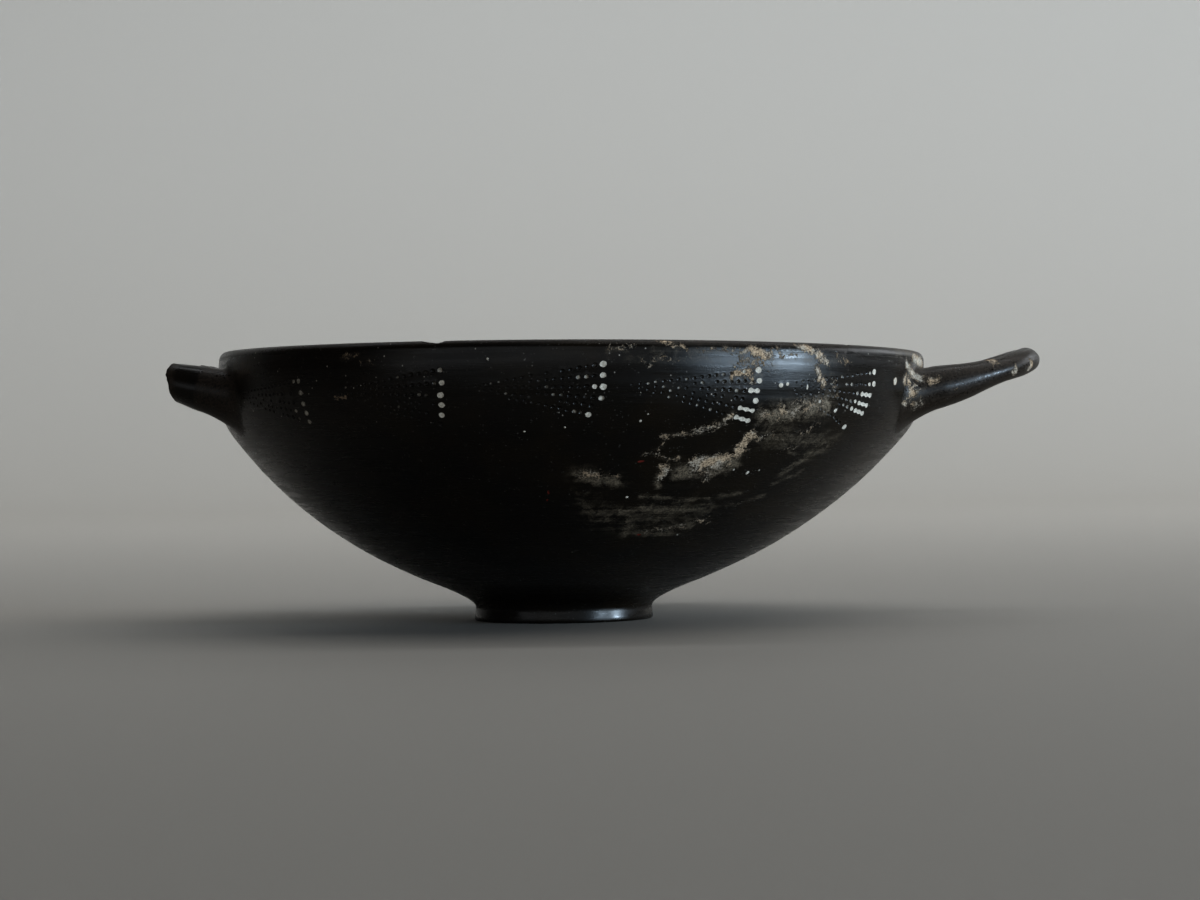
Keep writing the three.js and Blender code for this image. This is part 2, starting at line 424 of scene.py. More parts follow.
@dataclass
class Spot(Feature):
    """A dent or lump made of rings, or a row of lobes, dots that run together. turn is from level."""

    along: float
    length: float
    width: float
    turn: float = 0.0
    height: float = 0.0
    white: float = 0.0
    red: float = 0.0
    crust: float = 0.0
    sides: int = 8
    lobes: int = 1
    order = 2

    def reach(self):
        """How far the middles of its end lobes are from its own middle."""
        return self.length - self.width if self.lobes > 1 else 0.0

    def middles(self):
        """Its own middle, or middles close together along its lobes."""
        turn = math.radians(self.turn)
        for k in range(-4, 5) if self.lobes > 1 else (0,):
            out = self.reach() * k / 4
            yield self.across() + out * math.cos(turn), self.along + out * math.sin(turn)

    def touches(self, other):
        apart = min(math.dist(mine, theirs) for mine in self.middles() for theirs in other.middles())
        sizes = [spot.width if spot.lobes > 1 else max(spot.length, spot.width) for spot in (self, other)]
        return apart < DOTS_OFF_SPOT * sum(sizes)

    def covers(self, across, along):
        x, y = across - self.across(), along - self.along
        turn = math.radians(self.turn)
        right = (x * math.cos(turn) + y * math.sin(turn)) / self.length
        up = (y * math.cos(turn) - x * math.sin(turn)) / self.width
        return math.hypot(right, up) < POINTS_OFF_SPOT

    def fill(self, patch, rng):
        for ring in spot_rings(self, rng):
            for across, along, lift, marks in ring:
                patch.place(across, along, lift, **marks)
            if len(ring) > 1:
                patch.close_loop(len(ring))


# Each ring of a spot: its size and its height, as shares of the spot's, and how much it is marked.
DENT_RINGS = [(0.0, 1.0, 1.0), (0.55, 0.95, 1.0), (0.86, 0.5, 0.8), (1.04, -0.1, 0.3), (1.3, 0.0, 0.0)]
SMALL_DENT_RINGS = [(0.0, 1.0, 1.0), (0.62, 0.8, 1.0), (1.02, -0.05, 0.4), (1.3, 0.0, 0.0)]
BACK_DENT_RINGS = [(0.0, 1.0, 1.0), (1.0, 0.0, 0.4)]
LUMP_RINGS = [(0.0, 1.0, 1.0), (0.45, 0.85, 1.0), (0.8, 0.5, 0.95), (1.02, 0.1, 0.6), (1.25, 0.0, 0.0)]

# A dent narrower than this, in mm, or outside the front's angles, in degrees, has fewer rings.
SMALL_DENT = 0.36
FRONT = (-95.0, 95.0)

# How soon the side of joined dots gives way to their round ends, and how deep their waists are.
LOBE_ENDS = 1.5
LOBE_WAIST = 0.5


def lobed_place(spot, share, side):
    """A place on a ring of joined dots: half rounds at the ends, and a waist between each two dots."""
    end = math.acos(1 / LOBE_ENDS)
    from_end = side if side < math.pi else side - 2 * math.pi
    slide = spot.reach() * max(-1.0, min(1.0, LOBE_ENDS * math.cos(side)))
    if abs(from_end) < end:
        direction = from_end * math.pi / 2 / end
    elif abs(from_end) > math.pi - end:
        direction = math.pi + (side - math.pi) * math.pi / 2 / end
    else:
        direction = math.copysign(math.pi / 2, from_end)
    pitch = 2 * spot.reach() / (spot.lobes - 1)
    waist = 1 - LOBE_WAIST * math.sin(math.pi * (slide + spot.reach()) / pitch) ** 2
    out = share * spot.width * waist
    return slide + out * math.cos(direction), out * math.sin(direction)


def spot_rings(spot, rng):
    """The spot's places as (across, along, lift, marks), ring by ring, in mm on the flattened wall."""
    if spot.height > 0:
        rings = LUMP_RINGS
    elif not FRONT[0] < spot.angle < FRONT[1]:
        rings = BACK_DENT_RINGS
    else:
        rings = SMALL_DENT_RINGS if spot.width < SMALL_DENT else DENT_RINGS
    turn = math.radians(spot.turn)
    uneven = [1 + rng.uniform(-0.1, 0.1) for _ in range(spot.sides)]
    for share, height, mark in rings:
        ring = []
        for k in range(1 if share == 0 else spot.sides):
            side = 2 * math.pi * k / spot.sides
            stretch = share * (uneven[k] if share < 1.2 else 1)
            x = stretch * spot.length * math.cos(side)
            y = stretch * spot.width * math.sin(side)
            if spot.lobes > 1 and share > 0:
                x, y = lobed_place(spot, stretch, side)
            across = spot.across() + x * math.cos(turn) - y * math.sin(turn)
            along = spot.along + x * math.sin(turn) + y * math.cos(turn)
            lift = spot.height * height * (1 + rng.uniform(-0.12, 0.12))
            marks = {"white": spot.white * mark, "red": spot.red * mark, "crust": spot.crust * mark}
            ring.append((across, along, lift, marks))
        yield ring


@dataclass
class Hole(Feature):
    """Where a handle's root meets the wall: an oval loop that its fillet starts from."""

    along: float
    across_radius: float
    along_radius: float
    order = 0

    def reach(self, across, along):
        """How far out a point is, where 1 is the loop itself."""
        right = (across - self.across()) / self.across_radius
        up = (along - self.along) / self.along_radius
        return math.hypot(right, up)

    def covers(self, across, along):
        return self.reach(across, along) < POINTS_OFF_HOLE

    def fill(self, patch, _):
        for turn in HANDLE_TURNS:
            across = self.across() + self.across_radius * math.cos(turn)
            along = self.along + self.along_radius * math.sin(turn)
            loops[self.angle].append(patch.place(across, along))
        patch.close_loop(HANDLE_SIDES)


@dataclass
class Chip(Feature):
    """A bite out of the lip. lean is where its deepest point is, from its left end, 0, to its right, 1."""

    length: float
    depth: float
    lean: float
    order = 1

    def depth_at(self, across, inwards):
        share = (across - self.across()) / self.length + 0.5
        if not 0 < share < 1:
            return -1.0
        rise = share / self.lean if share < self.lean else (1 - share) / (1 - self.lean)
        rough = noise.noise(Vector((across * 1.7, inwards * 2.1, self.angle))) * 0.35
        return self.depth * (rise**0.8 * (1 + rough) + 0.12 * inwards)

    def covers(self, across, along):
        over = abs(across - self.across()) < self.length / 2 + 0.45
        return over and abs(along - TOP) < CHIP_SPAN + 0.15

    def fill(self, patch, rng):
        """Fine points over the lip, lowered to the bite's rough floor."""
        half = self.length / 2 + 0.3
        for row in range(int(2 * CHIP_SPAN / CHIP_STEP)):
            for step in range(int(2 * half / CHIP_STEP)):
                shift = 0.5 * (row % 2) + rng.uniform(-0.2, 0.2)
                across = self.across() - half + CHIP_STEP * (step + shift)
                along = TOP - CHIP_SPAN + CHIP_STEP * (row + rng.uniform(-0.2, 0.2))
                point, _ = surface_point(across / RIM_RADIUS, along)
                inwards = math.hypot(point.x, point.y) - (RIM_RADIUS - WALL / 2)
                drop = self.depth_at(across, inwards) - (RIM_HEIGHT - point.z)
                patch.place(across, along, 0.0, max(0.0, drop), broken=float(drop > 0))


class Patch:
    """A block of the grid, in columns and rows, that is filled with loose triangles around its features."""

    def __init__(self, across, along, half_across, half_along, features=(), fine=False):
        left = math.degrees((across - half_across) / RIM_RADIUS)
        right = math.degrees((across + half_across) / RIM_RADIUS)
        self.left, self.right = column_at(left), column_at(right)
        self.bottom, self.top = row_at(along - half_along), row_at(along + half_along)
        self.features = list(features)
        self.fine = fine

    def meets(self, other):
        apart = self.right < other.left or other.right < self.left
        return not (apart or self.top < other.bottom or other.top < self.bottom)

    def take(self, other):
        """Grows over another patch, and takes its features."""
        self.left, self.right = min(self.left, other.left), max(self.right, other.right)
        self.bottom, self.top = min(self.bottom, other.bottom), max(self.top, other.top)
        self.features += other.features
        self.fine = self.fine or other.fine

    def edge_cells(self):
        yield from ((column, self.bottom) for column in range(self.left, self.right))
        yield from ((self.right, row) for row in range(self.bottom, self.top))
        yield from ((column, self.top) for column in range(self.right, self.left, -1))
        yield from ((self.left, row) for row in range(self.top, self.bottom, -1))

    def add(self, across, along, vertex):
        self.flat.append((across, along))
        self.ids.append(vertex)

    def place(self, across, along, *lift_and_drop, **marks):
        vertex = clay.place(across / RIM_RADIUS, along, *lift_and_drop, **marks)
        self.add(across, along, vertex)
        return vertex

    def close_loop(self, count):
        first = len(self.flat) - count
        self.edges += [(first + k, first + (k + 1) % count) for k in range(count)]

    def blocked(self, across, along):
        return any(feature.covers(across, along) for feature in self.features)

    def fill(self, rng):
        """Makes the features, adds the block's edge and the grid points between, and joins them all."""
        self.flat, self.ids, self.edges = [], [], []
        for feature in sorted(self.features, key=lambda feature: feature.order):
            feature.fill(self, rng)
        border = list(self.edge_cells())
        for column, row in border:
            self.add(column_angle(column) * RIM_RADIUS, float(rows[row]), grid_vertex(column, row))
        self.close_loop(len(border))
        for column in range(self.left + 1, self.right):
            for row in range(self.bottom + 1, self.top):
                across, along = column_angle(column) * RIM_RADIUS, float(rows[row])
                if not self.blocked(across, along):
                    self.add(across, along, grid_vertex(column, row))
        if self.fine:
            self.add_fine_points()
        holes = [feature for feature in self.features if isinstance(feature, Hole)]
        triangulate(self.flat, self.ids, self.edges, holes)

    def add_fine_points(self):
        """The places half way between the grid's points, over the fine part of the wall."""
        columns = range(column_at(FINE_ANGLES[0]) * 2, column_at(FINE_ANGLES[1]) * 2 + 1)
        low_row, high_row = (row_at(along_outside(height)) for height in FINE_HEIGHTS)
        for column in columns:
            for row in range(low_row * 2, high_row * 2 + 1):
                if column % 2 == 0 and row % 2 == 0:
                    continue
                across = column_angle(column / 2) * RIM_RADIUS
                along = float(rows[row // 2] + rows[(row + 1) // 2]) / 2
                if not self.blocked(across, along):
                    self.place(across, along)


# ---------------------------------------------------------------- punched fans

FAN_DOTS = 18
FAN_LENGTH = 25.0
FAN_FIRST_DOT = 0.8
DOT_PITCH = (FAN_LENGTH - FAN_FIRST_DOT) / (FAN_DOTS - 1)
FAN_POINT_HEIGHT = 44.8

# A dot's radius at the fan's point, what it gains by the row's end, and what the end dot has besides.
DOT_RADIUS = 0.25
DOT_GROWTH = 0.15
END_DOT_GROWTH = 0.1
DOT_STRAY = 0.08
DOTS_MISSING = 0.04
MOST_JOINED = 3

# Each fan: how white its filled dots are, and for its rows, from the top down, the angles and heights of
# their right ends and how many dots from there are filled.
FANS = [
    # The first fan's dots are the least white: partly a duller fill, partly painted shade, as they lie on
    # the left away from the windows.
    (0.42, [-45.9, -45.5, -45.1, -44.8, -44.6], [47, 44.7, 42.7, 40.9, 39.4], [2, 1.4, 2, 3, 2.6]),
    (0.8, [-19.6, -19.4, -19.5, -19.5, -19.6, -20], [48.1, 45.8, 43.6, 41.8, 40, 38.4],
     [0.6, 1, 2, 1, 2, 0]),
    (1, [4.5, 4.5, 4.6, 4.4, 4.1, 2.6], [48.6, 46.7, 44.6, 42.6, 41.1, 39.7], [0.9, 0.8, 1.9, 0.5, 1, 1]),
    (1, [28.7, 28.9, 28.8, 28.7, 28.5, 28.1], [47.3, 45.4, 43.5, 41.8, 40, 38.2], [0.9, 1, 2, 1.4, 3, 3]),
    (1, [53.7, 53.9, 53.2, 52.8, 52.2, 49], [47.1, 44.9, 42.8, 40.9, 39.4, 37],
     [1.5, 1.6, 3.5, 4.4, 4.4, 1.5]),
    (0.6, [127, 127, 127, 127, 126, 125], [47.5, 45.4, 43.3, 41.5, 39.9, 38.4], [1, 2, 1, 0, 2, 0]),
    (0.8, [151, 152, 151, 151, 151, 150], [47.2, 45.2, 43.2, 41.4, 39.8, 38.4], [0, 1, 2, 2, 1, 1]),
    (0.7, [176, 176, 176, 175, 175, 174], [47.6, 45.6, 43.4, 41.6, 40, 38.8], [1, 1, 0, 1, 2, 0]),
    (0.5, [200, 201, 201, 200, 200, 199], [47.8, 45.6, 43.5, 41.6, 40, 38.5], [0, 2, 1, 1, 1, 0]),
    (0.4, [225, 225, 225, 224, 224, 223], [47.4, 45.3, 43.3, 41.5, 39.9, 38.3], [1, 0, 1, 1, 0, 0]),
]


def fan_spots(whiteness, angles, heights, filled_dots, taken, rng):
    """The dots of a fan, whose rows open to the right from one point, each row's dots growing outwards."""
    middle = angles[2]
    start = across_at(middle) - FAN_LENGTH
    front = FRONT[0] < middle < FRONT[1]
    spots = []
    point_along = along_at(math.degrees(start / RIM_RADIUS), FAN_POINT_HEIGHT)
    for end_angle, end_height, filled in zip(angles, heights, filled_dots):
        run = across_at(end_angle) - start
        climb = along_at(end_angle, end_height) - point_along
        pitch = DOT_PITCH * math.hypot(run, climb) / FAN_LENGTH
        # In a well filled fan, the filling of the end dots runs together.
        joined = max(1, min(MOST_JOINED, int(filled))) if whiteness > 0.9 else 1
        for from_end in range(FAN_DOTS):
            if 0 < from_end < joined:
                continue
            lobes = joined if from_end == 0 else 1
            share = 1 - DOT_PITCH * (from_end + (lobes - 1) / 2) / FAN_LENGTH
            across = start + run * share + rng.uniform(-DOT_STRAY, DOT_STRAY)
            along = point_along + climb * share + rng.uniform(-DOT_STRAY, DOT_STRAY)
            fill = min(1.0, max(0.0, filled - from_end))
            # Some other front dots get a faint white: partly leftover fill, partly a painted glint for
            # light caught in the pits.
            residue_and_glint = rng.random() ** 4 * 0.5 if front else 0.0
            radius = DOT_RADIUS + DOT_GROWTH * share + (END_DOT_GROWTH if from_end == 0 else 0)
            radius *= rng.uniform(0.88, 1.06)
            radius *= 1 + 0.1 * fill
            depth = (0.12 + 0.12 * share) * (1 - 0.8 * fill)
            missing = rng.random() < DOTS_MISSING and from_end > 1
            sides = 12 if radius > 0.38 else 8
            radius *= 0.94 if lobes > 1 else 1
            spot = Spot(
                angle=math.degrees(across / RIM_RADIUS),
                along=along,
                length=radius + pitch * (lobes - 1) / 2 if lobes > 1 else radius * 1.15,
                width=radius,
                turn=math.degrees(math.atan2(climb, run)),
                height=-depth,
                white=max(fill * rng.uniform(0.85, 1.0), residue_and_glint) * whiteness,
                sides=(sides if front else 6) + 12 * (lobes - 1),
                lobes=lobes,
            )
            crowded = any(spot.touches(other) for other in spots + taken)
            if not crowded and not missing:
                spots.append(spot)
    return spots


# ---------------------------------------------------------------- small deposits

# Small lumps, and pits of less than no thickness: the angle in degrees, the height, half the length and
# width, the turn in degrees, the thickness, and how white, red and crusted it is.
DEPOSITS = [
    (32.9, 44.6, 0.46, 0.4, 0, 0.08, 0.95, 0, 0),
    (34.1, 44.8, 0.34, 0.3, 0, 0.08, 0.9, 0, 0),
    (11.1, 24.9, 0.3, 0.28, 0, 0.1, 1, 0, 0),
    (33.1, 28.9, 0.34, 0.42, 0, 0.1, 1, 0, 0),
    (29.8, 29.5, 0.26, 0.26, 0, 0.08, 0.45, 0, 0),
    (35.3, 29.3, 0.3, 0.26, 20, 0.08, 0.4, 0, 0.3),
    (26.5, 17.6, 0.4, 0.34, 0, 0.08, 0.35, 0, 0),
    (1.5, 14.7, 0.34, 0.26, 0, 0.06, 0.3, 0, 0),
    (-7.0, 36.9, 0.24, 0.16, 0, 0.06, 0.9, 0, 0),
    (-0.8, 37.5, 0.2, 0.18, 0, 0.06, 0.7, 0, 0),
    (10.6, 38.4, 0.28, 0.26, 30, 0.06, 0.5, 0, 0),
    (11.6, 39.6, 0.2, 0.2, 0, 0.06, 0.5, 0, 0),
    (-12.4, 49.9, 0.2, 0.2, 0, 0.05, 0.7, 0, 0),
    (38.0, 44.2, 0.2, 0.5, 0, 0.06, 0.6, 0, 0),
    (41.0, 41.6, 0.34, 0.34, 0, 0.06, 0.55, 0, 0),
    (45.0, 39.9, 0.4, 0.4, 0, 0.08, 0.7, 0, 0),
    (61.0, 45.5, 0.8, 0.7, 0, 0.1, 0.45, 0, 1),
    (-3.6, 26.0, 0.26, 0.5, 5, -0.08, 0, 1, 0),
    (-3.9, 24.6, 0.22, 0.36, -10, -0.08, 0, 0.8, 0),
    (12.0, 31.3, 0.7, 0.28, 8, -0.08, 0, 1, 0),
    (16.8, 17.8, 0.7, 0.3, -6, -0.08, 0, 0.8, 0),
    (19.7, 18.0, 0.5, 0.3, -6, -0.06, 0, 0.3, 0.6),
]


def deposit_spot(deposit):
    angle, height, length, width, turn, thickness, white, red, crust = deposit
    return Spot(angle, along_at(angle, height), length, width, turn, thickness, white, red, crust, 10)


# ---------------------------------------------------------------- chips

CHIPS = [
    Chip(-21.3, 4.8, 0.5, 0.7),
    Chip(47.5, 1.8, 0.18, 0.4),
    Chip(128.0, 4.2, 0.6, 0.35),
    Chip(204.0, 3.0, 0.4, 0.6),
]

# The part of the wall where the deposits lie, in angle and height, is meshed twice as finely.
FINE_ANGLES = (3.0, 56.0)
FINE_HEIGHTS = (16.0, 51.0)

# ---------------------------------------------------------------- handles

HANDLE_SIDES = 36
HANDLE_TURNS = [2 * math.pi * k / HANDLE_SIDES for k in range(HANDLE_SIDES)]
FILLET_STEPS = 8
TUBE_STEP = 0.7
LINE_SAMPLES = 3000
STREAK_STRETCH = 0.06
HANDLE_STREAKS = 300.0
HANDLE_WEAR = 0.6

# The vertices round each hole, by the hole's angle, for its fillet.
loops = {}


def roll_height(distance):
    past = distance - HANDLE_HEIGHT_AT
    return HANDLE_HEIGHT + past * math.tan(math.radians(HANDLE_SLOPE)) + HANDLE_CURL * past * past


def horseshoe(share):
    """The middle line of the roll of clay on the +X side, from its -Y root round to its +Y root."""
    turn = (share - 0.5) * math.pi
    power = 2 / HANDLE_SQUARENESS
    out = abs(math.cos(turn)) ** power
    across = math.copysign(abs(math.sin(turn)) ** power, turn)
    reach = HANDLE_ROOT + (HANDLE_REACH - HANDLE_ROOT) * out
    spread = HANDLE_HALF_SPREAD + (HANDLE_HALF_CROWN - HANDLE_HALF_SPREAD) * out
    return reach, across * spread, roll_height(reach)


class HandleLine:
    """The horseshoe, measured along its length. It leaves the wall at start and meets it again at end."""

    def __init__(self):
        self.points = np.array([horseshoe(k / LINE_SAMPLES) for k in range(LINE_SAMPLES + 1)])
        lengths = np.linalg.norm(np.diff(self.points, axis=0), axis=1)
        self.measure = np.concatenate([[0], np.cumsum(lengths)])
        self.length = float(self.measure[-1])
        outside = np.hypot(self.points[:, 0], self.points[:, 1]) > RIM_RADIUS
        self.start = float(self.measure[outside.argmax()])
        self.end = self.length - self.start

    def at(self, measure):
        return Vector([np.interp(measure, self.measure, self.points[:, k]) for k in range(3)])

    def axes(self, measure):
        """The direction of travel, and two directions across it, sideways and up."""
        travel = (self.at(measure + 0.2) - self.at(measure - 0.2)).normalized()
        slope = math.radians(HANDLE_SLOPE)
        lean = Vector((-math.sin(slope), 0, math.cos(slope)))
        up = (lean - travel * lean.dot(travel)).normalized()
        return travel, up.cross(travel), up

    def from_end(self, measure):
        return min(measure, self.length - measure)

    def crown_share(self, measure):
        """0 along the arms and 1 round the crown."""
        return min(1.0, max(0.0, (self.from_end(measure) - TAPER_FROM) / (TAPER_TO - TAPER_FROM)))

    def radius(self, measure):
        share = self.crown_share(measure)
        flare = ROOT_FLARE * math.exp(-max(0.0, self.from_end(measure) - self.start) / ROOT_FLARE_LENGTH)
        return ARM_RADIUS + (CROWN_RADIUS - ARM_RADIUS) * share * share * (3 - 2 * share) + flare


line = HandleLine()


def rotated(vector, side):
    """side 1 is the whole handle's, +X, and side -1 is the broken one's, half a turn round."""
    return Vector((side * vector.x, side * vector.y, vector.z))


def root_hole(side, arm):
    """arm -1 is where the line starts, and arm 1 is where it ends."""
    crossing = line.at(line.start)
    angle = math.degrees(math.atan2(crossing.x, -crossing.y))
    angle = angle if arm < 0 else 180 - angle
    if side < 0:
        angle += 180 if arm < 0 else -180
    radius = line.radius(line.start) + FILLET_WIDTH
    return Hole(angle, along_outside(crossing.z) - FILLET_DROP, radius + 0.2, radius + FILLET_FALL)


def streak_place(measure, turn, radius):
    """A handle's streaks run along it, and are kept apart from the bowl's."""
    return (measure * STREAK_STRETCH + HANDLE_STREAKS, radius * math.cos(turn), radius * math.sin(turn))


def worn_point(position, measure, turn):
    """A point of the roll's skin, with its polish worn."""
    return clay.point(position, streak_place(measure, turn, line.radius(measure)), worn=HANDLE_WEAR)


def handle_point(measure, turn, share=1.0):
    """A place on the roll's skin, or inside it where share is under 1."""
    _, sideways, up = line.axes(measure)
    lumps = noise.noise(Vector((measure * 0.13, 1.2 * math.cos(turn), 1.2 * math.sin(turn)))) * 0.16
    crown = line.crown_share(measure)
    wear = UNDERSIDE_WEAR * crown * max(0.0, -math.sin(turn))
    radius = (line.radius(measure) + 0.1 * (1 - crown) + lumps - wear) * share
    return line.at(measure) + (sideways * math.cos(turn) + up * math.sin(turn)) * radius


def fillet_rings(hole, side, arm):
    """Rings of vertices that lead from the hole's loop out to a full round section of the roll."""
    measure = line.start + FILLET_LENGTH if arm < 0 else line.end - FILLET_LENGTH
    travel, _, _ = line.axes(measure)
    outwards = rotated(travel if arm < 0 else -travel, side)
    centre, _ = surface_point(math.radians(hole.angle), hole.along)
    loop = loops[hole.angle]
    rings = [loop] + [[] for _ in range(FILLET_STEPS)]
    for vertex, turn in zip(loop, HANDLE_TURNS):
        angle, along, _, _ = clay.places[vertex]
        start, normal = surface_point(angle, along)
        inward = centre - start
        inward = (inward - normal * inward.dot(normal)).normalized()
        turn = turn if arm < 0 else math.pi - turn
        end = rotated(handle_point(measure, turn), side)
        corner = start + inward * FILLET_WIDTH * 0.95
        last = end - outwards * FILLET_LENGTH * 0.6
        for step in range(1, FILLET_STEPS + 1):
            share = step / FILLET_STEPS
            left = 1 - share
            position = (
                start * left**3
                + corner * 3 * share * left**2
                + last * 3 * share**2 * left
                + end * share**3
            )
            rings[step].append(worn_point(position, measure, turn))
    return rings


def join_rings(rings):
    count = len(rings[0])
    for lower, upper in zip(rings, rings[1:]):
        for k in range(count):
            after = (k + 1) % count
            clay.faces.append((lower[k], lower[after], upper[after], upper[k]))


def whole_handle(near_hole, far_hole):
    """The roll between its two fillets, from the root at -Y round to the root at +Y."""
    near = fillet_rings(near_hole, 1, -1)
    far = fillet_rings(far_hole, 1, 1)
    join_rings(near)
    join_rings(far)
    start, end = line.start + FILLET_LENGTH, line.end - FILLET_LENGTH
    steps = math.ceil((end - start) / TUBE_STEP)
    rings = [near[-1]]
    for step in range(1, steps):
        measure = start + (end - start) * step / steps
        rings.append([worn_point(handle_point(measure, turn), measure, turn) for turn in HANDLE_TURNS])
    rings.append([far[-1][(HANDLE_SIDES // 2 - k) % HANDLE_SIDES] for k in range(HANDLE_SIDES)])
    join_rings(rings)


CAP_RINGS = (0.93, 0.84, 0.72, 0.6, 0.48, 0.36, 0.24, 0.12)


def stub(hole, arm):
    """A root of the lost handle, ending in a rough break."""
    start = line.start + FILLET_LENGTH
    half = slice(0, LINE_SAMPLES // 2)
    length = line.measure[half][line.points[half, 0] < STUB_REACH[arm]].max()

    def break_at(turn, share):
        """How far from the line's own end the broken face is."""
        x, y = share * math.cos(turn), share * math.sin(turn)
        rough = noise.noise(Vector((x * 1.6, y * 1.6, 7.0 * arm))) * 0.5
        rough += noise.noise(Vector((x * 6, y * 6, 3.0 * arm))) * 0.22
        lean = STUB_LEAN[arm] * y + 0.1 * x
        return length - STUB_SETBACK[arm] + ARM_RADIUS * lean + rough - 0.9 * share**5

    def vertex_at(measure, turn, share, **marks):
        measure = measure if arm < 0 else line.length - measure
        wheel = streak_place(measure, turn, share * ARM_RADIUS)
        along = measure if arm < 0 else line.length - measure
        rise = STUB_RISE[arm] * min(1.0, max(0.0, (along - start) / 4)) ** 2
        position = rotated(handle_point(measure, turn, share), -1) + Vector((0, 0, rise))
        return clay.point(position, wheel, **marks)

    turns = HANDLE_TURNS if arm < 0 else [math.pi - turn for turn in HANDLE_TURNS]
    rings = fillet_rings(hole, -1, arm)
    steps = math.ceil((length - start) / TUBE_STEP)
    for step in range(1, steps + 1):
        worn = max(0.0, 1 - (steps - step) / 3)
        ring = []
        for turn in turns:
            measure = start + (break_at(turn, 1) - start) * step / steps
            ring.append(vertex_at(measure, turn, 1, worn=worn, broken=worn * 0.5))
        rings.append(ring)
    for share in CAP_RINGS:
        rings.append([vertex_at(break_at(turn, share), turn, share, broken=1.0) for turn in turns])
    join_rings(rings)
    middle = vertex_at(break_at(0, 0), 0, 0, broken=1.0)
    last = rings[-1]
    clay.faces.extend((last[k], last[(k + 1) % len(last)], middle) for k in range(len(last)))


# ---------------------------------------------------------------- the whole surface


def disc(row, spacing, upwards):
    """Closes the grid at its first or last row with a disc of even triangles."""
    radius = float(np.interp(rows[row], ALONG, outline[:, 0]))
    part = ALONG >= rows[row] if upwards else ALONG <= rows[row]
    order = np.argsort(outline[part, 0])
    radii, alongs = outline[part, 0][order], ALONG[part][order]
    angles = [column_angle(column) for column in range(COLUMNS)]
    flat = [(radius * math.sin(angle), -radius * math.cos(angle)) for angle in angles]
    ids = [grid_vertex(column, row) for column in range(COLUMNS)]
    edges = [(k, (k + 1) % COLUMNS) for k in range(COLUMNS)]
    rings = int(radius / spacing)
    for ring in range(rings):
        ring_radius = radius * ring / rings
        along = float(np.interp(ring_radius, radii, alongs))
        count = 6 * ring or 1
        for k in range(count):
            angle = 2 * math.pi * (k + 0.5 * (ring % 2)) / count
            flat.append((ring_radius * math.sin(angle), -ring_radius * math.cos(angle)))
            ids.append(clay.place(angle, along))
    before = len(clay.faces)
    triangulate(flat, ids, edges)
    if not upwards:
        clay.faces[before:] = [face[::-1] for face in clay.faces[before:]]


def patch_over(across, along, beside, beyond, features=(), fine=False):
    """A patch over a range of places, with a margin beside them and beyond them."""
    left, right, bottom, top = min(across), max(across), min(along), max(along)
    half = ((right - left) / 2 + beside, (top - bottom) / 2 + beyond)
    return Patch((left + right) / 2, (bottom + top) / 2, *half, features, fine)


def all_patches(holes, rng):
    """One patch for each feature, with those that meet made into one."""
    patches = []
    taken = [deposit_spot(deposit) for deposit in DEPOSITS]
    for spot in taken:
        half = (1.6 * spot.length + 1.3, 1.6 * spot.width + 1.1)
        patches.append(Patch(spot.across(), spot.along, *half, [spot]))
    for hole in holes:
        half = (hole.across_radius + 1.6, hole.along_radius + 0.8)
        patches.append(Patch(hole.across(), hole.along, *half, [hole]))
    for chip in CHIPS:
        patches.append(Patch(chip.across(), TOP, chip.length / 2 + 1.3, CHIP_SPAN + 0.6, [chip]))
    across = [across_at(angle) for angle in FINE_ANGLES]
    along = [along_outside(height) for height in FINE_HEIGHTS]
    patches.append(patch_over(across, along, 1.5, 1.0, fine=True))
    for fan in FANS:
        spots = fan_spots(*fan, taken, rng)
        spots = [
            spot
            for spot in spots
            if all(hole.reach(spot.across(), spot.along) > DOTS_OFF_HOLE for hole in holes)
        ]
        across = [spot.across() for spot in spots]
        along = [spot.along for spot in spots]
        patches.append(patch_over(across, along, 1.6, 1.6, spots))
    merged = []
    while patches:
        patch = patches.pop()
        met = [other for other in merged if patch.meets(other)]
        for other in met:
            patch.take(other)
            merged.remove(other)
        (patches if met else merged).append(patch)
    return merged


def build_surface():
    rng = random.Random(SEED)
    holes = {(side, arm): root_hole(side, arm) for side in (1, -1) for arm in (-1, 1)}
    for hole in holes.values():
        loops[hole.angle] = []
    patches = all_patches(holes.values(), rng)
    taken = set()
    for patch in patches:
        patch.fill(rng)
        taken.update(
            (column % COLUMNS, row)
            for column in range(patch.left, patch.right)
            for row in range(patch.bottom, patch.top)
        )
    for column in range(COLUMNS):
        for row in range(len(rows) - 1):
            if (column, row) not in taken:
                corners = ((column, row), (column + 1, row), (column + 1, row + 1), (column, row + 1))
                clay.faces.append(tuple(grid_vertex(*corner) for corner in corners))
    disc(0, 1.3, upwards=False)
    disc(len(rows) - 1, 1.8, upwards=True)
    whole_handle(holes[1, -1], holes[1, 1])
    stub(holes[-1, -1], -1)
    stub(holes[-1, 1], 1)


# ---------------------------------------------------------------- wide deposits and wear

